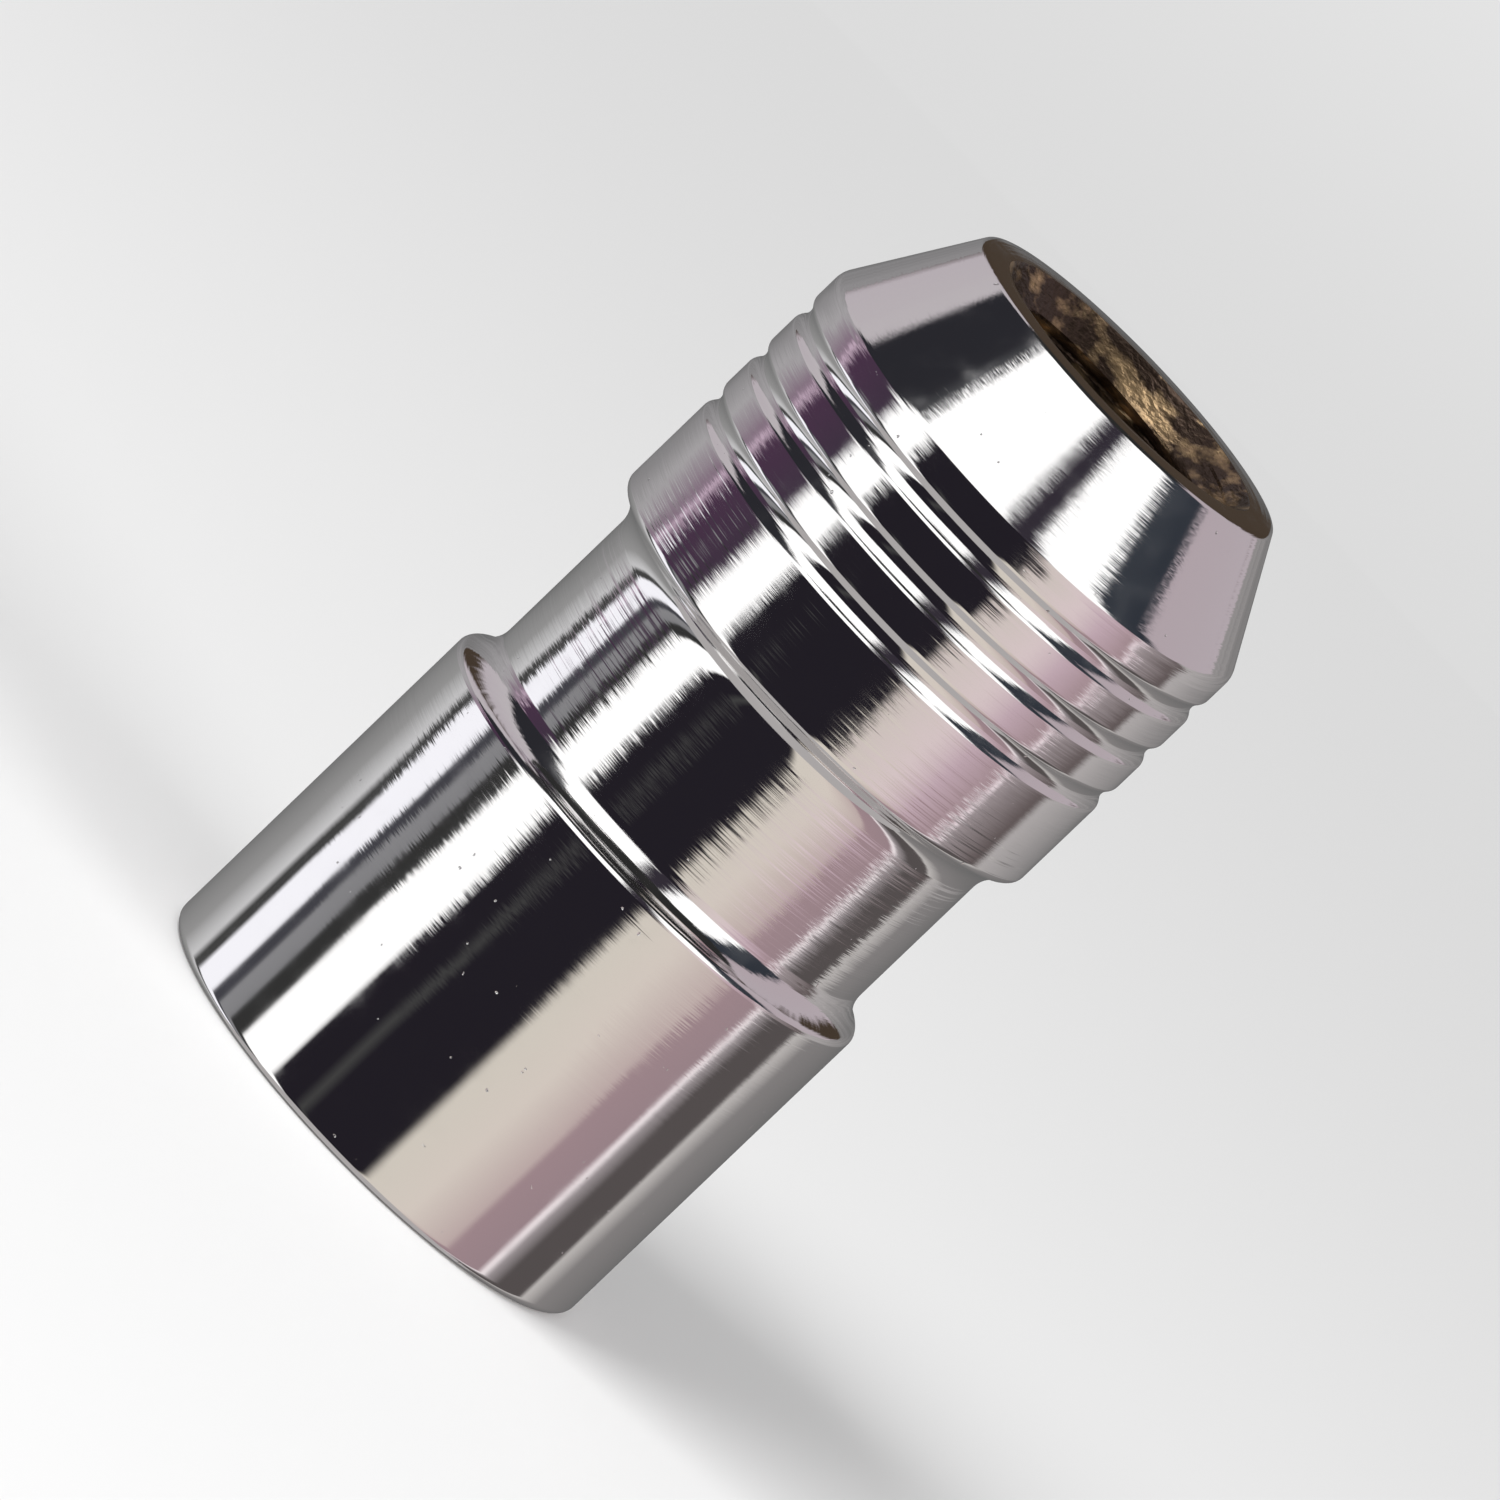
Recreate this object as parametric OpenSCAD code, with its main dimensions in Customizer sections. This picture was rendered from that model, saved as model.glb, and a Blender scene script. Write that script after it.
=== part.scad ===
// Locking wheel nut: one turned piece of chrome-plated steel that closes over the wheel stud.
// It stands on its key-end face. Its axis is Z, and the cone seat and the threaded mouth are on top.
// Millimetres throughout.

/* [Body] */
// Diameter of the bar that the nut is turned from, which is left on the body and on the band
nut_d = 21.7; // [19.5:0.1:26]
// Length of the plain body, with its rounded edges
body_l = 15.8; // [12:0.1:24]
// Radius of the edge round the key-end face
key_edge_r = 0.4; // [0.1:0.05:0.8]

/* [Waist] */
// Depth of the turned waist below the body and the band
waist_depth = 1.05; // [0.4:0.05:1.6]
// Length between the two shoulders, with the fillets
waist_l = 8.8; // [6:0.1:14]
// Radius of the fillet at each end of the waist
waist_fillet_r = 1.45; // [0.8:0.05:2.4]
// Radius of the rounded edge on each shoulder
shoulder_edge_r = 0.4; // [0.1:0.05:0.6]

/* [Band] */
// Length of the band, from its shoulder to the foot of the cone
band_l = 11.6; // [9:0.1:16]

/* [Rings] */
// Number of grooves turned round the band
ring_count = 3; // [1:1:4]
// Distance from the foot of the cone to the middle of the first groove
ring_first = 1.85; // [1.5:0.05:2.4]
// Distance from one groove to the next
ring_pitch = 2.45; // [1.9:0.05:2.7]
// Width of a groove, with its rounded edges
ring_w = 1.3; // [0.9:0.05:1.6]
// Depth of a groove
ring_depth = 0.25; // [0.1:0.01:0.35]
// Radius of the rounded edges of a groove
ring_edge_r = 0.28; // [0.1:0.01:0.35]

/* [Cone seat] */
// Included angle of the cone seat
seat_angle = 60; // [50:1:90]
// Diameter of the small end of the cone
mouth_d = 15.8; // [14.6:0.1:18]
// Radius of the edge at the foot of the cone
seat_edge_r = 0.9; // [0.2:0.1:1.6]
// Radius of the edge round the mouth
rim_edge_r = 0.3; // [0.1:0.05:0.5]

/* [Stud thread] */
// Nominal diameter of the stud's thread
thread_d = 12; // [10:0.5:12.5]
// Pitch of the stud's thread
thread_pitch = 1.5; // [1:0.25:1.75]
// Depth of the bore at its full diameter, from the rim
bore_depth = 29; // [18:0.5:30]
// Angle of the drill point at the bottom of the bore
drill_angle = 118; // [90:1:140]
// Diameter of the countersink at the rim
countersink_d = 13.2; // [12.6:0.1:14.4]
// Included angle of the countersink
countersink_angle = 90; // [60:5:120]

/* [Key pattern] */
// Depth of the wavy groove that the key enters
key_depth = 5.5; // [3:0.1:6.5]
// Width of the wavy groove
key_w = 1.9; // [1.4:0.1:2.2]
// Mean radius of the middle line of the groove
key_mean_r = 5.8; // [5.2:0.1:6.4]
// How far the pattern is stretched to an oval
key_oval = 0.35; // [0:0.05:0.5]
// Angle of the oval
key_oval_turn = 20; // [0:5:90]
// How far the pattern is pulled to a rounded triangle
key_triangle = 0.45; // [0:0.05:0.6]
// Height of the small lobes
key_lobe = 0.32; // [0:0.02:0.38]
// Angle of the small lobes
key_lobe_turn = 40; // [0:5:90]

/* [Hidden] */
// Number of small lobes in the key pattern
key_lobe_count = 7;
// How far a cut runs past the face that it opens, so that none is left as a film
cut_over = 1;
// Straight steps in one rounded edge or fillet
arc_steps = 6;
// Straight steps round the key pattern
key_steps = 140;
// Steps of every turned face
turn_fn = 128;
// Radii of the turned surfaces
nut_r = nut_d / 2;
waist_r = nut_r - waist_depth;
mouth_r = mouth_d / 2;
countersink_r = countersink_d / 2;
// The tapping drill is as wide as the thread less one pitch
bore_r = (thread_d - thread_pitch) / 2;
// Angle between the cone's surface and the axis
seat_slope = seat_angle / 2;
seat_h = (nut_r - mouth_r) / tan(seat_slope);
// Heights of the changes of section
waist_z = body_l;
band_z = waist_z + waist_l;
seat_z = band_z + band_l;
nut_l = seat_z + seat_h;
// Bottom of the countersink, of the full bore and of the drill point
countersink_z = nut_l - (countersink_r - bore_r) / tan(countersink_angle / 2);
bore_z = nut_l - bore_depth;
drill_z = bore_z - bore_r / tan(drill_angle / 2);

// Points of an arc round a centre, from one angle to another
function arc(centre, r, from, to) =
    [for (i = [0:arc_steps])
        let (a = from + (to - from) * i / arc_steps)
        centre + r * [cos(a), sin(a)]];

// Shoulder down to the waist, at height 0 and looking up: a rounded edge that runs into a fillet.
// The two meet at the angle at which they take up the depth between them.
function shoulder() =
    let (
        share = waist_depth / (shoulder_edge_r + waist_fillet_r),
        a = share < 1 ? acos(1 - share) : 90
    )
    concat(
        arc([nut_r - shoulder_edge_r, -shoulder_edge_r * sin(a)], shoulder_edge_r, 0, a),
        arc([waist_r + waist_fillet_r, waist_fillet_r * sin(a)], waist_fillet_r, 180 + a, 180)
    );

// Points moved up, and points turned upside down and read from the other end
function raised(points, z) = [for (p = points) p + [0, z]];
function upended(points) = [for (i = [len(points) - 1:-1:0]) [points[i][0], -points[i][1]]];

// One turned groove round the band, at height 0: an arc floor between two rounded edges
function ring_groove() =
    let (
        a = 2 * atan(2 * ring_depth / ring_w),
        floor_r = ring_w / 2 / sin(a) - ring_edge_r
    )
    concat(
        arc([nut_r - ring_edge_r, -ring_w / 2], ring_edge_r, 0, a),
        arc([nut_r - ring_depth + floor_r, 0], floor_r, 180 + a, 180 - a),
        arc([nut_r - ring_edge_r, ring_w / 2], ring_edge_r, -a, 0)
    );

// The grooves from the lowest to the highest
function ring_grooves() =
    [for (i = [ring_count - 1:-1:0])
        each raised(ring_groove(), seat_z - ring_first - i * ring_pitch)];

// Edge at the foot of the cone, tangent to the band and to the cone
function seat_edge() =
    arc([nut_r - seat_edge_r, seat_z - seat_edge_r * tan(seat_slope / 2)], seat_edge_r, 0, seat_slope);

// Edge round the mouth, tangent to the cone and to the flat rim
function rim_edge() =
    arc([mouth_r - rim_edge_r * tan((90 - seat_slope) / 2), nut_l - rim_edge_r],
        rim_edge_r, seat_slope, 90);

// Half section of the outside, from the middle of the key-end face to the middle of the mouth
function outside() =
    concat(
        [[0, 0]],
        arc([nut_r - key_edge_r, key_edge_r], key_edge_r, -90, 0),
        raised(shoulder(), waist_z),
        raised(upended(shoulder()), band_z),
        ring_grooves(),
        seat_edge(),
        rim_edge(),
        [[0, nut_l]]
    );

// Radius of the key pattern's middle line at an angle, and its rate of change per radian
function key_r(a) =
    key_mean_r + key_oval * cos(2 * a + key_oval_turn) + key_triangle * cos(3 * a)
    + key_lobe * cos(key_lobe_count * a + key_lobe_turn);
function key_dr(a) =
    -2 * key_oval * sin(2 * a + key_oval_turn) - 3 * key_triangle * sin(3 * a)
    - key_lobe_count * key_lobe * sin(key_lobe_count * a + key_lobe_turn);

// Point at a distance outside the middle line, square to it
function key_point(a, out) =
    let (
        ray = [cos(a), sin(a)],
        side = [-ray[1], ray[0]],
        along = key_dr(a) * ray + key_r(a) * side
    )
    key_r(a) * ray + out * [along[1], -along[0]] / norm(along);

// Closed line at a distance outside the middle line
module key_line(out) {
    polygon([for (i = [0:key_steps - 1]) key_point(360 * i / key_steps, out)]);
}

// The wavy closed groove, as wide all the way round
module key_groove() {
    translate([0, 0, -cut_over])
        linear_extrude(key_depth + cut_over)
            difference() {
                key_line(key_w / 2);
                key_line(-key_w / 2);
            }
}

// Blind bore with its drill point and its countersink, cut at the thread's minor diameter
module stud_bore() {
    rotate_extrude($fn = turn_fn)
        polygon([
            [0, drill_z],
            [bore_r, bore_z],
            [bore_r, countersink_z],
            [countersink_r, nut_l],
            [countersink_r, nut_l + cut_over],
            [0, nut_l + cut_over]
        ]);
}

module wheel_nut() {
    color("gainsboro")
        difference() {
            rotate_extrude($fn = turn_fn)
                polygon(outside());
            stud_bore();
            key_groove();
        }
}

wheel_nut();
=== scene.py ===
"""A closed-end locking wheel nut: its plated finish, its thread, its key groove and a small studio."""

import math

import bmesh
import bpy
from bpy.props import FloatProperty, FloatVectorProperty, IntProperty, PointerProperty
from mathutils import Matrix, Vector


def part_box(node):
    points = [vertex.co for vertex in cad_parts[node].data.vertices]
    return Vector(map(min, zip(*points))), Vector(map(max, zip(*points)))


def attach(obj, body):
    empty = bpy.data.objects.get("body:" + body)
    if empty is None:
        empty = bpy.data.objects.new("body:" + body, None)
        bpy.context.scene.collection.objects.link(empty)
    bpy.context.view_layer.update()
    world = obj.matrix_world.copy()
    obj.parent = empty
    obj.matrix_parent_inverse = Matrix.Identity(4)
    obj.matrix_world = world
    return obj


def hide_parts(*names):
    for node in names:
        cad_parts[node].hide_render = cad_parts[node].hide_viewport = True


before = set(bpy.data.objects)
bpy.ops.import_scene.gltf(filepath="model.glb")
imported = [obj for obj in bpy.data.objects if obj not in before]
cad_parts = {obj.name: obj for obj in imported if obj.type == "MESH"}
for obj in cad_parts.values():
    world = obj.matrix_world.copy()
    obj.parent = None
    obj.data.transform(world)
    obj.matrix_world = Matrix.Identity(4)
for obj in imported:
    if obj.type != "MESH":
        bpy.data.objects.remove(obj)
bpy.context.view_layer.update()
NUT_LOW, NUT_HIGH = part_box("wheel_nut")

bl_info = {
    "name": "Locking wheel nut",
    "version": (1, 0, 0),
    "blender": (4, 5, 0),
    "location": "View3D > Sidebar > Wheel nut",
    "description": "Makes a chrome-plated locking wheel nut and the stage that shows it",
    "category": "Add Mesh",
}

MM = 0.001
AXIS = Vector((0, 0, 1))
CENTRE = Vector((0, 0, 0))
# Segments round every turned face, and steps in one rounded edge
TURN_STEPS = 144
ARC_STEPS = 7
# Rows of faces in one pitch of the thread
ROWS_PER_PITCH = 12
# Points closer than this are one point
WELD = 1e-6
# Edges that bend more than this stay crisp
CRISP = math.radians(35)


def length(name, text, millimetres):
    """A length that a user can change, written in millimetres."""
    return FloatProperty(name=name, description=text, default=millimetres * MM, unit="LENGTH")


def angle(name, text, degrees):
    """An angle that a user can change, written in degrees."""
    return FloatProperty(name=name, description=text, default=math.radians(degrees), unit="ROTATION")


def colour(name, text, value):
    """A colour that a user can change, in linear values."""
    return FloatVectorProperty(name=name, description=text, default=value, subtype="COLOR", size=3,
                               min=0.0, max=1.0)


class NutForm(bpy.types.PropertyGroup):
    """Sizes of the turned outside and of the bore."""

    nut_d: length("Bar", "Diameter of the body and the band", (NUT_HIGH.x - NUT_LOW.x) / MM)
    nut_l: length("Length", "Length from the key-end face to the rim", (NUT_HIGH.z - NUT_LOW.z) / MM)
    body_l: length("Body", "Length of the plain body", 15.8)
    key_edge_r: length("Key-end edge", "Radius round the key-end face", 0.4)
    waist_depth: length("Waist depth", "Depth of the waist below the body", 1.05)
    waist_l: length("Waist length", "Length of the waist with its fillets", 8.8)
    waist_fillet_r: length("Waist fillet", "Radius of the fillets of the waist", 1.45)
    shoulder_edge_r: length("Shoulder edge", "Radius of the edges of the shoulders", 0.4)
    band_l: length("Band", "Length of the band with its grooves", 11.6)
    ring_count: IntProperty(name="Rings", description="Number of grooves round the band", default=3)
    ring_first: length("First ring", "From the foot of the cone to the first groove", 1.85)
    ring_pitch: length("Ring pitch", "From one groove to the next", 2.45)
    ring_w: length("Ring width", "Width of a groove", 1.3)
    ring_depth: length("Ring depth", "Depth of a groove", 0.25)
    ring_edge_r: length("Ring edge", "Radius of the edges of a groove", 0.28)
    seat_slope: angle("Seat slope", "Angle between the cone and the axis", 30)
    mouth_d: length("Mouth", "Diameter of the small end of the cone", 15.8)
    seat_edge_r: length("Seat edge", "Radius at the foot of the cone", 0.9)
    rim_edge_r: length("Rim edge", "Radius round the mouth", 0.3)
    countersink_d: length("Countersink", "Diameter of the countersink", 13.2)
    countersink_slope: angle("Countersink slope", "Angle between the countersink and the axis", 45)


class ThreadForm(bpy.types.PropertyGroup):
    """Sizes of the stud thread in the bore."""

    major_d: length("Major diameter", "Diameter at the roots of the internal thread", 12.0)
    minor_d: length("Minor diameter", "Diameter at its crests, which is the drilled hole's", 10.5)
    pitch: length("Pitch", "Rise of one turn", 1.5)
    bore_depth: length("Bore depth", "Depth of the drilled hole at its full diameter", 29.0)
    run_out: length("Run-out", "Length over which the thread fades at the bottom", 3.0)
    drill_slope: angle("Drill slope", "Angle between the drill point and the axis", 59)


class KeyForm(bpy.types.PropertyGroup):
    """Sizes of the wavy groove that the key enters."""

    depth: length("Depth", "Depth of the groove", 5.5)
    width: length("Width", "Width of the groove", 1.9)
    mean_r: length("Mean radius", "Mean radius of its middle line", 5.8)
    oval: length("Oval", "How far the pattern is stretched to an oval", 0.35)
    oval_turn: angle("Oval turn", "Angle of the oval", 20)
    triangle: length("Triangle", "How far it is pulled to a rounded triangle", 0.45)
    lobe: length("Lobe", "Height of the small lobes", 0.32)
    lobe_turn: angle("Lobe turn", "Angle of the small lobes", 40)
    lobe_count: IntProperty(name="Lobes", description="Number of small lobes", default=7)
    edge_r: length("Edge", "Width of the broken edge of the groove", 0.12)
    floor_r: length("Floor edge", "Width of the rounding at the groove's floor", 0.3)


class NutFinish(bpy.types.PropertyGroup):
    """Colours and surface marks."""

    chrome: colour("Chrome", "Colour of the bright plate", (0.79, 0.78, 0.775))
    chrome_gloss: FloatProperty(name="Plate roughness", description="Roughness of the plate", default=0.045)
    mark_height: FloatProperty(name="Turning marks", description="Height of the turning marks, in metres",
                               default=5.0e-6, precision=8)
    thread_dark: colour("Oiled thread", "Colour of the oiled steel in the bore", (0.055, 0.036, 0.026))
    # Gold of the painted glints: patches in the bore coloured to stand in for highlights on the thread
    painted_glint_gold: colour("Thread glints", "Colour of the worn crests", (0.52, 0.36, 0.20))


class StageLook(bpy.types.PropertyGroup):
    """Camera, lamps and the cards that the plate mirrors."""

    camera_distance: length("Camera distance", "From the camera to the middle of the nut", 1000)
    camera_rise: angle("Camera rise", "Height of the camera above the level of the nut", 11)
    camera_roll: angle("Camera roll", "Lean of the camera, which sets the nut at a slant", 46.2)
    frame_w: length("Frame width", "Width of what the camera sees at the nut", 58)
    ring_r: length("Ring radius", "Distance from the axis to the rings of light round the nut", 250)
    ring_low: length("Ring foot", "Height of the lower ring's foot, below the floor", -300)
    ring_split: length("Ring split", "Height at which the lower ring gives way to the upper", 80)
    ring_top: length("Ring top", "Height of the upper ring's top", 420)
    ring_strength: FloatProperty(name="Ring strength", description="Strength of the rings of light",
                                 default=1.35)
    band_foot: length("Band light foot", "Height at which the lower ring gives way to the middle", -24)
    body_ragged: angle("Body edges", "How far the lower ring's edges waver", 9)
    band_ragged: angle("Band edges", "How far the middle ring's edges waver", 11)
    seat_ragged: angle("Seat edges", "How far the upper ring's edges waver", 8)
    lid: colour("Lid", "Colour of the card above", (0.03, 0.03, 0.03))
    under_card: colour("Under card", "Colour of the card below", (0.5, 0.48, 0.48))
    floor_r: length("Floor radius", "Radius of the floor", 1500)
    floor_gap: length("Floor gap", "Gap between the floor and the nut", 0.02)
    paper: colour("Paper", "Colour of the floor and the background", (0.78, 0.78, 0.78))


def arc(centre, radius, start, end):
    """Points of an arc in the plane of r and z, with angles in radians."""
    steps = [start + (end - start) * i / ARC_STEPS for i in range(ARC_STEPS + 1)]
    return [(centre[0] + radius * math.cos(a), centre[1] + radius * math.sin(a)) for a in steps]


def raised(points, height):
    return [(r, z + height) for r, z in points]


def upended(points):
    return [(r, -z) for r, z in reversed(points)]


def shoulder(form):
    """Shoulder from the bar to the waist, at height 0 and looking up."""
    bar_r = form.nut_d / 2
    waist_r = bar_r - form.waist_depth
    edge, fillet = form.shoulder_edge_r, form.waist_fillet_r
    turn = math.acos(1 - form.waist_depth / (edge + fillet))
    upper = arc((bar_r - edge, -edge * math.sin(turn)), edge, 0, turn)
    lower = arc((waist_r + fillet, fillet * math.sin(turn)), fillet, math.pi + turn, math.pi)
    return upper + lower[1:]


def ring_groove(form):
    """One shallow groove round the band, at height 0, from its lower to its upper edge."""
    bar_r, edge, half = form.nut_d / 2, form.ring_edge_r, form.ring_w / 2
    turn = 2 * math.atan(form.ring_depth / half)
    floor = half / math.sin(turn) - edge
    lower = arc((bar_r - edge, -half), edge, 0, turn)
    middle = arc((bar_r - form.ring_depth + floor, 0), floor, math.pi + turn, math.pi - turn)
    upper = arc((bar_r - edge, half), edge, -turn, 0)
    return lower + middle[1:-1] + upper


def outside_profile(form):
    """Half section of the outside, from the edge of the key-end face up to the edge of the bore."""
    bar_r, mouth_r = form.nut_d / 2, form.mouth_d / 2
    seat_z = form.body_l + form.waist_l + form.band_l
    points = arc((bar_r - form.key_edge_r, form.key_edge_r), form.key_edge_r, -math.pi / 2, 0)
    points += raised(shoulder(form), form.body_l)
    points += raised(upended(shoulder(form)), form.body_l + form.waist_l)
    for i in reversed(range(form.ring_count)):
        points += raised(ring_groove(form), seat_z - form.ring_first - i * form.ring_pitch)
    seat_start = seat_z - form.seat_edge_r * math.tan(form.seat_slope / 2)
    points += arc((bar_r - form.seat_edge_r, seat_start), form.seat_edge_r, 0, form.seat_slope)
    rim_turn = math.pi / 2 - form.seat_slope
    rim_centre = (mouth_r - form.rim_edge_r * math.tan(rim_turn / 2), form.nut_l - form.rim_edge_r)
    points += arc(rim_centre, form.rim_edge_r, form.seat_slope, math.pi / 2)
    return points


def add_line(bm, points):
    """A chain of vertices and edges through points of the half section."""
    verts = [bm.verts.new((r, 0, z)) for r, z in points]
    return verts + [bm.edges.new(pair) for pair in zip(verts, verts[1:])]


def spin_round(bm, chain, rise=0.0):
    """Turns a chain once round the axis, rising as it goes where it is a thread."""
    step = Vector((0, 0, rise / TURN_STEPS))
    bmesh.ops.spin(bm, geom=chain, cent=CENTRE, axis=AXIS, dvec=step, angle=2 * math.pi,
                   space=Matrix.Identity(4), steps=TURN_STEPS, use_merge=rise == 0)
    bmesh.ops.remove_doubles(bm, verts=bm.verts, dist=WELD)


def turned_outside(form):
    """The outside skin, open at the key-end face and at the bore."""
    bm = bmesh.new()
    spin_round(bm, add_line(bm, outside_profile(form)))
    return bm


def thread_height(phase):
    """How far the thread is cut below its crest, from 0 to 1, at a phase of its pitch from 0 to 1."""
    from_crest = abs(phase - 0.5)
    crest, flank = 0.125, 0.3125
    return min(max((from_crest - crest) / flank, 0.0), 1.0)


def cut_plane(bm, height, above):
    """Cuts the mesh level at a height, and drops what lies above or below the cut."""
    bmesh.ops.bisect_plane(bm, geom=bm.verts[:] + bm.edges[:] + bm.faces[:], dist=WELD * 0.1,
                           plane_co=(0, 0, height), plane_no=(0, 0, 1),
                           clear_outer=above, clear_inner=not above)


def threaded_bore(form, thread):
    """The wall of the bore: the countersink, the helical thread and the drill point."""
    bore_r, cut = thread.minor_d / 2, (thread.major_d - thread.minor_d) / 2
    floor_z = form.nut_l - thread.bore_depth
    low, high = floor_z - 1.5 * thread.pitch, form.nut_l + 1.5 * thread.pitch
    rows = math.ceil((high - low) / thread.pitch * ROWS_PER_PITCH)
    row_h = thread.pitch / ROWS_PER_PITCH
    bm = bmesh.new()
    spin_round(bm, add_line(bm, [(bore_r, low - thread.pitch + i * row_h) for i in range(rows + 1)]),
               rise=thread.pitch)
    countersink_r = form.countersink_d / 2
    for v in bm.verts:
        turn = math.atan2(v.co.y, v.co.x) / (2 * math.pi)
        phase = (v.co.z / thread.pitch - turn) % 1.0
        fade = min(max((v.co.z - floor_z) / thread.run_out, 0.0), 1.0)
        thread_r = bore_r + cut * fade * thread_height(phase)
        below_rim = max(form.nut_l - v.co.z, 0.0)
        cone_r = countersink_r - below_rim * math.tan(form.countersink_slope)
        radius = max(thread_r, cone_r) if v.co.z < form.nut_l else countersink_r
        v.co.x, v.co.y = radius * math.cos(turn * 2 * math.pi), radius * math.sin(turn * 2 * math.pi)
    cut_plane(bm, form.nut_l, above=True)
    cut_plane(bm, floor_z, above=False)
    rim = [e for e in bm.edges if e.is_boundary and e.verts[0].co.z < floor_z + WELD]
    tip = bmesh.ops.extrude_edge_only(bm, edges=rim)["geom"]
    tip_verts = [v for v in tip if isinstance(v, bmesh.types.BMVert)]
    tip_z = floor_z - bore_r / math.tan(thread.drill_slope)
    bmesh.ops.pointmerge(bm, verts=tip_verts, merge_co=(0, 0, tip_z))
    return bm


def key_point(key, turn, outward, height):
    """A point beside the middle line of the key pattern, square to it, at an angle round the axis."""
    waves = ((2, key.oval, key.oval_turn), (3, key.triangle, 0.0), (key.lobe_count, key.lobe, key.lobe_turn))
    radius = key.mean_r + sum(size * math.cos(n * turn + lead) for n, size, lead in waves)
    change = -sum(n * size * math.sin(n * turn + lead) for n, size, lead in waves)
    ray = Vector((math.cos(turn), math.sin(turn), 0))
    side = Vector((-ray.y, ray.x, 0))
    along = (change * ray + radius * side).normalized()
    return radius * ray + outward * Vector((along.y, -along.x, 0)) + Vector((0, 0, height))


def extruded(bm, edges):
    """The vertices and the open edges of a loop extruded from another."""
    made = bmesh.ops.extrude_edge_only(bm, edges=edges)["geom"]
    verts = [v for v in made if isinstance(v, bmesh.types.BMVert)]
    return verts, [e for e in made if isinstance(e, bmesh.types.BMEdge) and e.is_boundary]


def key_end(form, key):
    """The key-end face and the groove in it, open along the edge of the face."""
    bm = bmesh.new()
    # Each point keeps its angle round the axis, so that the loops can't twist against each other
    turn = bm.verts.layers.float.new("turn")
    half, edge, fillet = key.width / 2, key.edge_r, key.floor_r
    face_r = form.nut_d / 2 - form.key_edge_r
    for v in bmesh.ops.create_circle(bm, segments=TURN_STEPS, radius=face_r)["verts"]:
        v[turn] = math.atan2(v.co.y, v.co.x)
    open_edges = bm.edges[:]
    wall = ((half + edge, 0), (half, edge), (half, key.depth - fillet), (half - fillet, key.depth))
    for outward, height in wall + tuple((-o, h) for o, h in reversed(wall)):
        verts, open_edges = extruded(bm, open_edges)
        for v in verts:
            v.co = key_point(key, v[turn], outward, height)
    middle, _ = extruded(bm, open_edges)
    bmesh.ops.pointmerge(bm, verts=middle, merge_co=CENTRE)
    bm.verts.layers.float.remove(turn)
    return bm


def joined(parts):
    """One mesh of several, welded where their edges meet."""
    bm = bmesh.new()
    for index, part in enumerate(parts):
        for face in part.faces:
            face.material_index = index
        scratch = bpy.data.meshes.new("scratch")
        part.to_mesh(scratch)
        part.free()
        bm.from_mesh(scratch)
        bpy.data.meshes.remove(scratch)
    bmesh.ops.remove_doubles(bm, verts=bm.verts, dist=WELD)
    return bm


def close_rim(bm, form):
    """Fills the flat rim between the outside and the bore, whose edges differ in their points."""
    top = [e for e in bm.edges if e.is_boundary and min(v.co.z for v in e.verts) > form.nut_l - WELD]
    made = bmesh.ops.triangle_fill(bm, edges=top, use_beauty=True, normal=AXIS)["geom"]
    for face in made:
        if isinstance(face, bmesh.types.BMFace):
            face.material_index = 0


def finish_mesh(bm, name, materials):
    """A smooth, closed object at the origin with its faces outwards and its crisp edges marked."""
    bmesh.ops.recalc_face_normals(bm, faces=bm.faces)
    for face in bm.faces:
        face.smooth = True
    for e in bm.edges:
        if len(e.link_faces) == 2 and e.calc_face_angle() > CRISP:
            e.smooth = False
    mesh = bpy.data.meshes.new(name)
    bm.to_mesh(mesh)
    bm.free()
    for material in materials:
        mesh.materials.append(material)
    piece = bpy.data.objects.new(name, mesh)
    bpy.context.scene.collection.objects.link(piece)
    return piece


def new_material(name):
    """An empty node material, its shader and its tree."""
    material = bpy.data.materials.new(name)
    material.use_nodes = True
    tree = material.node_tree
    return material, tree, tree.nodes["Principled BSDF"]


def add_node(tree, kind, links=(), **values):
    """A node with its settings, its socket values and its links from other sockets."""
    node = tree.nodes.new(kind)
    for key, value in values.items():
        setattr(node, key, value)
    for socket, source in dict(links).items():
        if isinstance(source, bpy.types.NodeSocket):
            tree.links.new(source, node.inputs[socket])
        else:
            node.inputs[socket].default_value = source
    return node


def stretched_noise(tree, scale, detail, stretch, source=None):
    """Noise on object coordinates, or on others, drawn out by a scale for each axis."""
    source = source or add_node(tree, "ShaderNodeTexCoord").outputs["Object"]
    drawn = add_node(tree, "ShaderNodeMapping", {"Vector": source, "Scale": stretch})
    return add_node(tree, "ShaderNodeTexNoise",
                    {"Vector": drawn.outputs[0], "Scale": scale, "Detail": detail})


def turning_coordinates(tree, axes):
    """Coordinates whose third part grows along the axis and inwards, as a lathe tool feeds."""
    flat = add_node(tree, "ShaderNodeCombineXYZ", {"X": axes.outputs["X"], "Y": axes.outputs["Y"]})
    radius = add_node(tree, "ShaderNodeVectorMath", {0: flat.outputs[0]}, operation="LENGTH")
    feed = add_node(tree, "ShaderNodeMath", {0: axes.outputs["Z"], 1: radius.outputs["Value"]},
                    operation="SUBTRACT")
    fed = add_node(tree, "ShaderNodeCombineXYZ",
                   {"X": axes.outputs["X"], "Y": axes.outputs["Y"], "Z": feed.outputs[0]})
    return fed.outputs[0]


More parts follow.
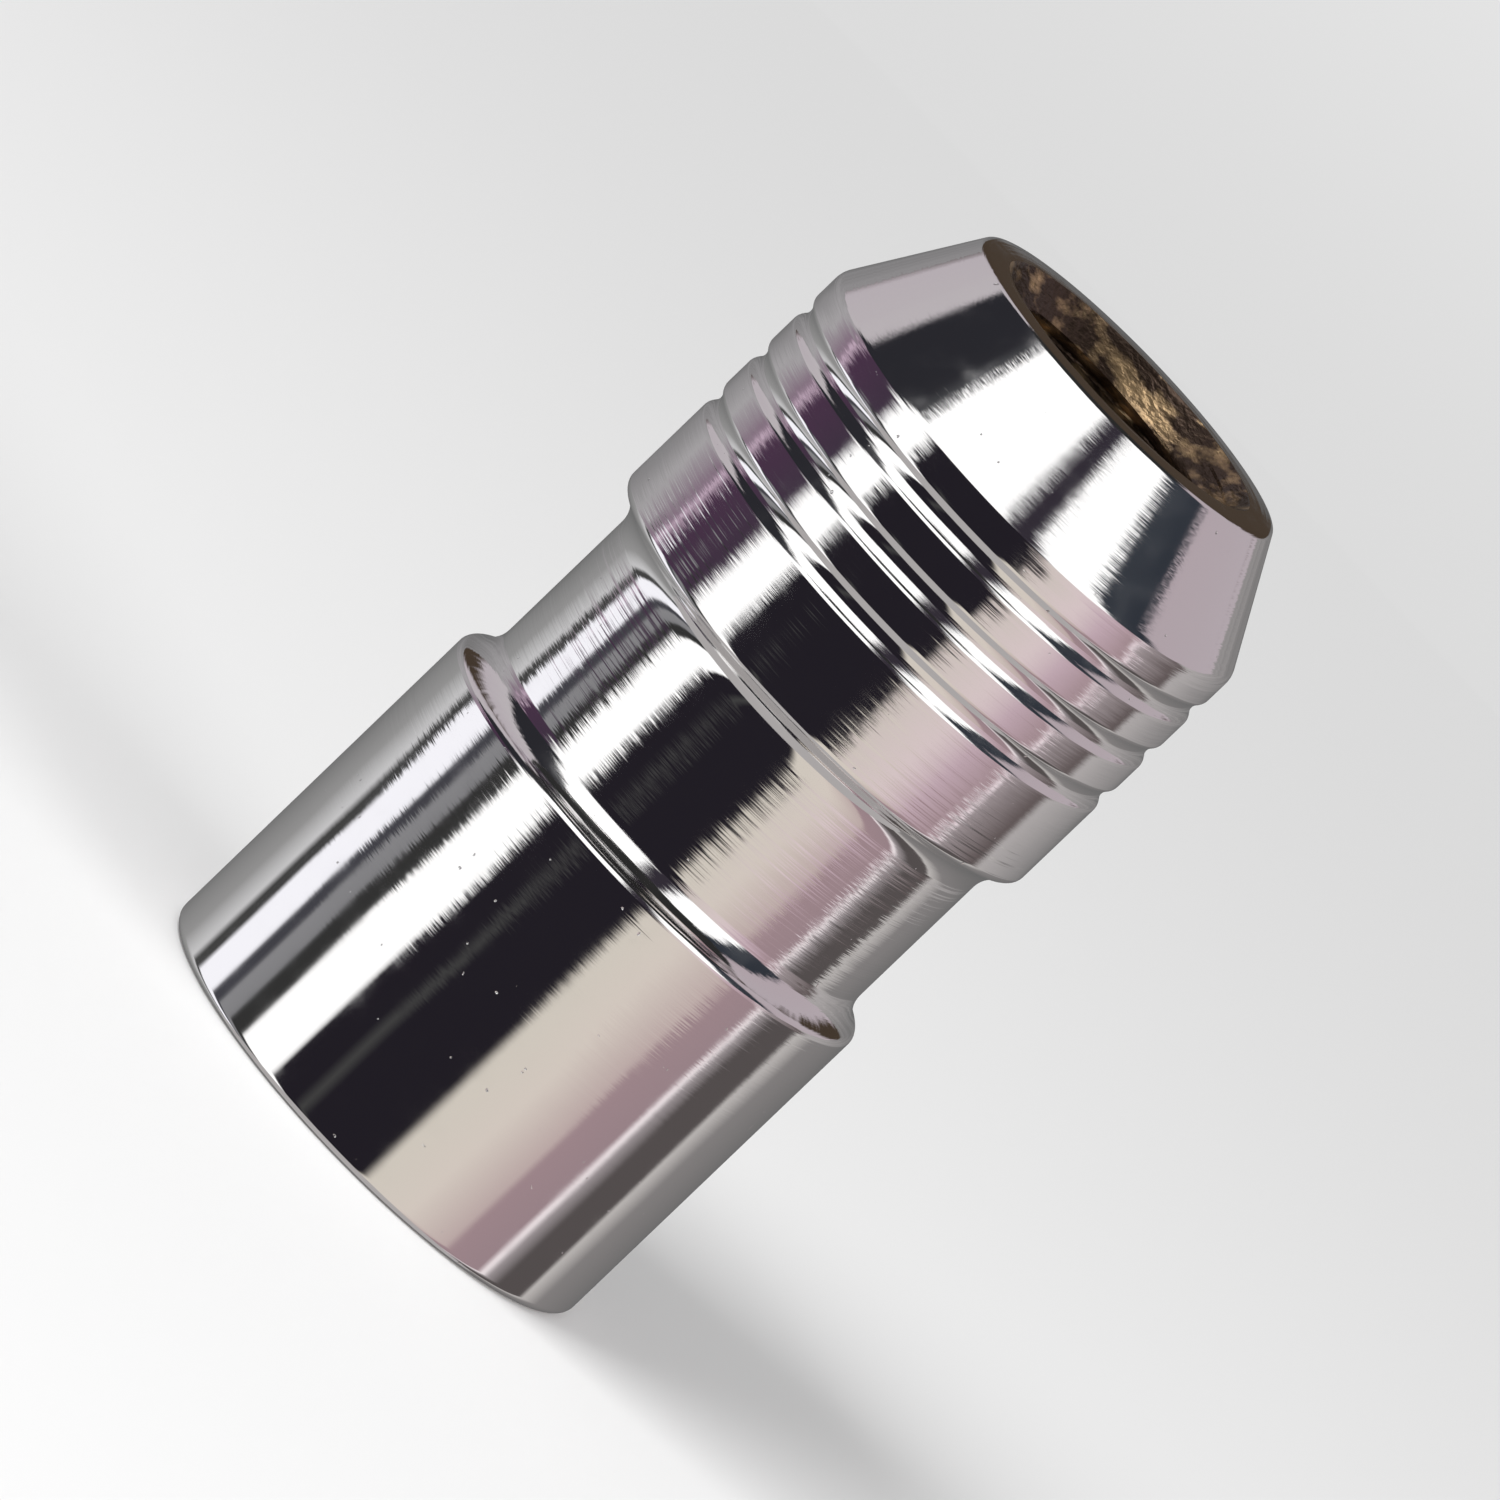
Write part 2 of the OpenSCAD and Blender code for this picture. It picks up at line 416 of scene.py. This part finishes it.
def chrome_plate(finish, body_l):
    """Bright plate over turning marks, which fade out down the body, with a few pits."""
    material, tree, shader = new_material("bright_chrome")
    shader.inputs["Base Color"].default_value = (*finish.chrome, 1)
    shader.inputs["Metallic"].default_value = 1.0
    place = add_node(tree, "ShaderNodeTexCoord")
    axes = add_node(tree, "ShaderNodeSeparateXYZ", {0: place.outputs["Object"]})
    fed = turning_coordinates(tree, axes)
    marks = stretched_noise(tree, 1.0, 2.0, (60, 60, 3200), fed)
    fine = stretched_noise(tree, 1.0, 1.0, (200, 200, 12000), fed)
    both = add_node(tree, "ShaderNodeMath", {0: fine.outputs["Fac"], 1: 0.35, 2: marks.outputs["Fac"]},
                    operation="MULTIPLY_ADD")
    turned = add_node(tree, "ShaderNodeMapRange",
                      {"Value": axes.outputs["Z"], "From Min": body_l * 0.3, "From Max": body_l,
                       "To Min": 0.12, "To Max": 1.0})
    depth = add_node(tree, "ShaderNodeMath", {0: both.outputs[0], 1: turned.outputs[0]},
                     operation="MULTIPLY")
    specks = stretched_noise(tree, 1.0, 1.0, (2600, 2600, 2600))
    pits = add_node(tree, "ShaderNodeMapRange",
                    {"Value": specks.outputs["Fac"], "From Min": 0.79, "From Max": 0.84,
                     "To Min": 0.0, "To Max": -6.0})
    height = add_node(tree, "ShaderNodeMath", {0: depth.outputs[0], 1: pits.outputs[0]},
                      operation="ADD")
    bump = add_node(tree, "ShaderNodeBump",
                    {"Height": height.outputs[0], "Distance": finish.mark_height, "Strength": 1.0})
    tree.links.new(bump.outputs[0], shader.inputs["Normal"])
    haze = stretched_noise(tree, 1.0, 3.0, (900, 900, 900))
    gloss = add_node(tree, "ShaderNodeMapRange",
                     {"Value": haze.outputs["Fac"], "From Min": 0.45, "From Max": 0.75,
                      "To Min": finish.chrome_gloss, "To Max": finish.chrome_gloss * 2.2})
    tree.links.new(gloss.outputs[0], shader.inputs["Roughness"])
    return material


def oiled_thread_and_glints(finish):
    """Dark oiled steel, with golden patches from noise painted in as glints."""
    material, tree, shader = new_material("oiled_thread_and_glints")
    shader.inputs["Metallic"].default_value = 0.85
    # Noise sets where the painted glints show gold over the dark oiled steel
    glint_patches = stretched_noise(tree, 1.0, 6.0, (640, 640, 1200))
    ramp = add_node(tree, "ShaderNodeValToRGB", {"Fac": glint_patches.outputs["Fac"]})
    ramp.color_ramp.elements[0].position = 0.49
    ramp.color_ramp.elements[0].color = (*finish.thread_dark, 1)
    ramp.color_ramp.elements[1].position = 0.70
    ramp.color_ramp.elements[1].color = (*finish.painted_glint_gold, 1)
    tree.links.new(ramp.outputs["Color"], shader.inputs["Base Color"])
    shader.inputs["Roughness"].default_value = 0.30
    grain = stretched_noise(tree, 1.0, 3.0, (2500, 2500, 5000))
    bump = add_node(tree, "ShaderNodeBump",
                    {"Height": grain.outputs["Fac"], "Distance": 9e-5, "Strength": 1.0})
    tree.links.new(bump.outputs[0], shader.inputs["Normal"])
    return material


class NUT_OT_nut(bpy.types.Operator):
    """Makes the nut as one closed mesh, with its thread and its key groove"""

    bl_idname = "wheel_nut.make_nut"
    bl_label = "Wheel nut"

    def execute(self, context):
        scene = context.scene
        form, thread, key, finish = scene.nut_form, scene.nut_thread, scene.nut_key, scene.nut_finish
        bm = joined([turned_outside(form), threaded_bore(form, thread), key_end(form, key)])
        close_rim(bm, form)
        chrome = chrome_plate(finish, form.body_l)
        nut = finish_mesh(bm, "plated_nut", [chrome, oiled_thread_and_glints(finish), chrome])
        weights = nut.modifiers.new("even_lands", "WEIGHTED_NORMAL")
        weights.keep_sharp = True
        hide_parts("wheel_nut")
        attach(nut, "root")
        return {"FINISHED"}


def glow_material(name, tint, strength):
    """A surface that shines evenly."""
    material = bpy.data.materials.new(name)
    material.use_nodes = True
    tree = material.node_tree
    tree.nodes.clear()
    glow = add_node(tree, "ShaderNodeEmission", {"Color": (*tint, 1), "Strength": strength})
    out = add_node(tree, "ShaderNodeOutputMaterial")
    tree.links.new(glow.outputs[0], out.inputs["Surface"])
    return material


WHITE, BLACK = (1.0, 1.0, 1.0), (0.014, 0.012, 0.017)
# Light round the nut, as angles from the camera's side in degrees and the colour there
BODY_LIGHT = (
    (-180, (0.10, 0.10, 0.10)), (-130, (0.26, 0.26, 0.26)), (-114, (0.52, 0.52, 0.53)),
    (-110, (0.05, 0.05, 0.05)),
    (-105, (0.05, 0.05, 0.05)), (-103, (0.85, 0.85, 0.90)), (-89, (0.85, 0.85, 0.90)),
    (-87, (0.05, 0.05, 0.06)), (-82, (0.05, 0.05, 0.06)), (-80, (0.22, 0.22, 0.23)),
    (-72, (0.20, 0.20, 0.21)), (-70, (0.03, 0.03, 0.03)), (-62, (0.03, 0.03, 0.03)),
    (-60, WHITE), (-40, WHITE), (-38, BLACK), (-25, BLACK), (-21, (0.05, 0.05, 0.05)),
    (-17, BLACK), (15, BLACK), (19, (0.58, 0.54, 0.48)), (40, (0.60, 0.54, 0.49)),
    (62, (0.46, 0.37, 0.36)), (65, (0.31, 0.22, 0.24)), (82, (0.29, 0.21, 0.23)),
    (85, (0.85, 0.78, 0.80)), (88, (0.30, 0.27, 0.28)), (96, (0.08, 0.07, 0.07)),
    (111, (0.08, 0.07, 0.07)), (114, (0.45, 0.43, 0.42)), (126, (0.20, 0.19, 0.19)),
    (180, (0.10, 0.10, 0.10)),
)
BAND_LIGHT = (
    (-180, (0.10, 0.10, 0.10)), (-120, (0.34, 0.33, 0.34)), (-99, (0.20, 0.14, 0.19)),
    (-96, (0.55, 0.42, 0.52)), (-93, (0.06, 0.03, 0.06)), (-65, (0.045, 0.03, 0.05)),
    (-60, WHITE), (-40, WHITE), (-38, BLACK), (23, BLACK), (27, (0.56, 0.50, 0.47)),
    (50, (0.62, 0.52, 0.53)), (64, (0.48, 0.36, 0.41)), (82, (0.32, 0.23, 0.25)),
    (85, (0.80, 0.70, 0.74)), (88, (0.30, 0.26, 0.27)), (111, (0.10, 0.08, 0.08)),
    (116, (0.38, 0.36, 0.36)), (180, (0.10, 0.10, 0.10)),
)
SEAT_LIGHT = (
    (-180, (0.05, 0.036, 0.026)), (-152, (0.05, 0.036, 0.026)), (-140, (0.42, 0.38, 0.41)),
    (-108, (0.45, 0.42, 0.44)), (-103, (0.02, 0.02, 0.025)),
    (-60, (0.02, 0.02, 0.025)), (-57, WHITE), (3, WHITE), (7, (0.03, 0.025, 0.035)),
    (23, (0.03, 0.025, 0.035)), (27, WHITE), (60, WHITE), (64, (0.025, 0.03, 0.04)),
    (90, (0.025, 0.03, 0.04)), (96, (0.40, 0.34, 0.37)), (140, (0.40, 0.35, 0.38)),
    (152, (0.05, 0.036, 0.026)), (180, (0.05, 0.036, 0.026)),
)


def round_light(name, stops, strength, ragged, calm_low=-0.046, calm_high=-0.032):
    """Light whose colour runs round the axis, with edges that waver over its height."""
    material = bpy.data.materials.new(name)
    material.use_nodes = True
    tree = material.node_tree
    tree.nodes.clear()
    place = add_node(tree, "ShaderNodeTexCoord")
    axes = add_node(tree, "ShaderNodeSeparateXYZ", {0: place.outputs["Object"]})
    front = add_node(tree, "ShaderNodeMath", {0: axes.outputs["Y"], 1: -1.0}, operation="MULTIPLY")
    turn = add_node(tree, "ShaderNodeMath", {0: axes.outputs["X"], 1: front.outputs[0]},
                    operation="ARCTAN2")
    waver = stretched_noise(tree, 1.0, 3.0, (4, 4, 120))
    swing = add_node(tree, "ShaderNodeMapRange",
                     {"Value": waver.outputs["Fac"], "From Min": 0.25, "From Max": 0.75,
                      "To Min": -ragged, "To Max": ragged})
    # What the smooth lower body mirrors keeps straight edges
    calm = add_node(tree, "ShaderNodeMapRange",
                    {"Value": axes.outputs["Z"], "From Min": calm_low, "From Max": calm_high,
                     "To Min": 0.06, "To Max": 1.0})
    moved = add_node(tree, "ShaderNodeMath",
                     {0: swing.outputs[0], 1: calm.outputs[0], 2: turn.outputs[0]},
                     operation="MULTIPLY_ADD")
    share = add_node(tree, "ShaderNodeMapRange",
                     {"Value": moved.outputs[0], "From Min": -math.pi, "From Max": math.pi})
    ramp = add_node(tree, "ShaderNodeValToRGB", {"Fac": share.outputs[0]})
    elements = ramp.color_ramp.elements
    for element, (degrees, tint) in zip(elements, (stops[0], stops[-1])):
        element.position, element.color = (degrees + 180) / 360, (*tint, 1)
    for degrees, tint in stops[1:-1]:
        elements.new((degrees + 180) / 360).color = (*tint, 1)
    glow = add_node(tree, "ShaderNodeEmission", {"Color": ramp.outputs["Color"], "Strength": strength})
    out = add_node(tree, "ShaderNodeOutputMaterial")
    tree.links.new(glow.outputs[0], out.inputs["Surface"])
    return material


def add_reflector(bm, name, material):
    """A stage piece that only the plate mirrors."""
    mesh = bpy.data.meshes.new(name)
    bm.to_mesh(mesh)
    bm.free()
    mesh.materials.append(material)
    card = bpy.data.objects.new(name, mesh)
    bpy.context.scene.collection.objects.link(card)
    card.visible_camera = False
    card.visible_diffuse = False
    card.visible_shadow = False


def add_ring(look, name, low, high, material):
    """A ring of light round the nut, between two heights."""
    bm = bmesh.new()
    chain = add_line(bm, [(look.ring_r, low), (look.ring_r, high)])
    spin_round(bm, chain)
    add_reflector(bm, name, material)


def add_disc(look, name, height, material):
    """A round card that closes the rings above or below."""
    bm = bmesh.new()
    bmesh.ops.create_circle(bm, cap_ends=True, segments=64, radius=look.ring_r,
                            matrix=Matrix.Translation((0, 0, height)))
    add_reflector(bm, name, material)


def paper_material(look):
    """Pale paper that takes a shadow near the nut and fades into the background far away."""
    material, tree, shader = new_material("pale_paper")
    shader.inputs["Base Color"].default_value = (*look.paper, 1)
    shader.inputs["Roughness"].default_value = 0.9
    place = add_node(tree, "ShaderNodeTexCoord")
    far = add_node(tree, "ShaderNodeVectorMath", {0: place.outputs["Object"]}, operation="LENGTH")
    fade = add_node(tree, "ShaderNodeMapRange",
                    {"Value": far.outputs["Value"], "From Min": 0.10, "From Max": 0.45},
                    interpolation_type="SMOOTHSTEP")
    glow = add_node(tree, "ShaderNodeEmission", {"Color": (*look.paper, 1), "Strength": 1.0})
    mix = add_node(tree, "ShaderNodeMixShader",
                   {0: fade.outputs[0], 1: shader.outputs[0], 2: glow.outputs[0]})
    # The floor is clear from below, so that the key-end face shows there
    side = add_node(tree, "ShaderNodeNewGeometry")
    clear = add_node(tree, "ShaderNodeBsdfTransparent")
    sided = add_node(tree, "ShaderNodeMixShader",
                     {0: side.outputs["Backfacing"], 1: mix.outputs[0], 2: clear.outputs[0]})
    tree.links.new(sided.outputs[0], tree.nodes["Material Output"].inputs["Surface"])
    return material


def add_floor(look):
    """A round floor on which the nut stands, a hair below it so that the two faces don't mix."""
    bm = bmesh.new()
    bmesh.ops.create_circle(bm, cap_ends=True, segments=96, radius=look.floor_r,
                            matrix=Matrix.Translation((0, 0, -look.floor_gap)))
    mesh = bpy.data.meshes.new("floor")
    bm.to_mesh(mesh)
    bm.free()
    mesh.materials.append(paper_material(look))
    floor = bpy.data.objects.new("floor", mesh)
    bpy.context.scene.collection.objects.link(floor)
    # The plate mirrors the rings of light right down to the nut's foot
    floor.visible_glossy = False


def add_world(look):
    """A soft even light, with the background shown to the camera and in the plate."""
    world = bpy.data.worlds.new("studio")
    bpy.context.scene.world = world
    world.use_nodes = True
    tree = world.node_tree
    tree.nodes.clear()
    path = add_node(tree, "ShaderNodeLightPath")
    mirrored = add_node(tree, "ShaderNodeMath",
                        {0: path.outputs["Is Glossy Ray"], 1: path.outputs["Is Transmission Ray"]},
                        operation="MAXIMUM")
    seen = add_node(tree, "ShaderNodeMath",
                    {0: path.outputs["Is Camera Ray"], 1: mirrored.outputs[0]}, operation="MAXIMUM")
    soft = add_node(tree, "ShaderNodeBackground", {"Color": (1, 1, 1, 1), "Strength": 0.45})
    shown = add_node(tree, "ShaderNodeBackground", {"Color": (*look.paper, 1), "Strength": 1.0})
    mix = add_node(tree, "ShaderNodeMixShader",
                   {0: seen.outputs[0], 1: soft.outputs[0], 2: shown.outputs[0]})
    out = add_node(tree, "ShaderNodeOutputWorld")
    tree.links.new(mix.outputs[0], out.inputs["Surface"])


def add_lamp(name, place, aim, size, power):
    """A soft square lamp."""
    data = bpy.data.lights.new(name, "AREA")
    data.size = size
    data.energy = power
    lamp = bpy.data.objects.new(name, data)
    lamp.location = place
    lamp.rotation_mode = "QUATERNION"
    lamp.rotation_quaternion = (aim - place).to_track_quat("-Z", "Y")
    bpy.context.scene.collection.objects.link(lamp)


def add_camera(look, nut_l):
    """A long lens above the cone, leaning so that the nut lies across the picture."""
    data = bpy.data.cameras.new("camera")
    data.sensor_width = 36.0
    data.lens = data.sensor_width * look.camera_distance / look.frame_w
    data.clip_start, data.clip_end = 0.01, 10.0
    camera = bpy.data.objects.new("camera", data)
    rise = look.camera_rise
    back = Vector((0, -math.cos(rise), math.sin(rise)))
    camera.location = Vector((0, 0, nut_l / 2)) + back * look.camera_distance
    camera.rotation_mode = "QUATERNION"
    lean = Matrix.Rotation(look.camera_roll, 3, "Z").to_quaternion()
    camera.rotation_quaternion = (-back).to_track_quat("-Z", "Y") @ lean
    bpy.context.scene.collection.objects.link(camera)
    bpy.context.scene.camera = camera


class NUT_OT_stage(bpy.types.Operator):
    """Makes the floor, the lamps, the cards round the nut and the camera"""

    bl_idname = "wheel_nut.make_stage"
    bl_label = "Stage"

    def execute(self, context):
        scene = context.scene
        look = scene.nut_stage
        scene.view_settings.view_transform = "Standard"
        add_floor(look)
        add_world(look)
        body_light = round_light("body_light", BODY_LIGHT, look.ring_strength, look.body_ragged)
        seat_light = round_light("seat_light", SEAT_LIGHT, look.ring_strength, look.seat_ragged)
        band_light = round_light("band_light", BAND_LIGHT, look.ring_strength, look.band_ragged)
        add_ring(look, "lower_ring", look.ring_low, look.band_foot, body_light)
        add_ring(look, "middle_ring", look.band_foot, look.ring_split, band_light)
        add_ring(look, "upper_ring", look.ring_split, look.ring_top, seat_light)
        add_disc(look, "lid", look.ring_top, glow_material("lid", look.lid, 1.0))
        add_disc(look, "under_card", look.ring_low, glow_material("under_card", look.under_card, 1.0))
        middle = Vector((0, 0, scene.nut_form.nut_l / 2))
        add_lamp("key_lamp", Vector((-0.35, -0.35, 0.55)), middle, 0.35, 4.0)
        add_lamp("fill_lamp", Vector((0.45, -0.25, 0.35)), middle, 0.4, 1.5)
        add_camera(look, scene.nut_form.nut_l)
        return {"FINISHED"}


class NUT_PT_panel(bpy.types.Panel):
    """Buttons for the nut and its stage"""

    bl_label = "Wheel nut"
    bl_idname = "NUT_PT_panel"
    bl_space_type = "VIEW_3D"
    bl_region_type = "UI"
    bl_category = "Wheel nut"

    def draw(self, context):
        column = self.layout.column()
        column.operator(NUT_OT_nut.bl_idname)
        column.operator(NUT_OT_stage.bl_idname)


GROUPS = {
    "nut_form": NutForm,
    "nut_thread": ThreadForm,
    "nut_key": KeyForm,
    "nut_finish": NutFinish,
    "nut_stage": StageLook,
}
CLASSES = (*GROUPS.values(), NUT_OT_nut, NUT_OT_stage, NUT_PT_panel)


def register():
    for cls in CLASSES:
        bpy.utils.register_class(cls)
    for name, group in GROUPS.items():
        setattr(bpy.types.Scene, name, PointerProperty(type=group))


def unregister():
    for name in GROUPS:
        delattr(bpy.types.Scene, name)
    for cls in reversed(CLASSES):
        bpy.utils.unregister_class(cls)


def main():
    register()
    bpy.ops.wheel_nut.make_nut()
    bpy.ops.wheel_nut.make_stage()


if __name__ == "__main__":
    main()
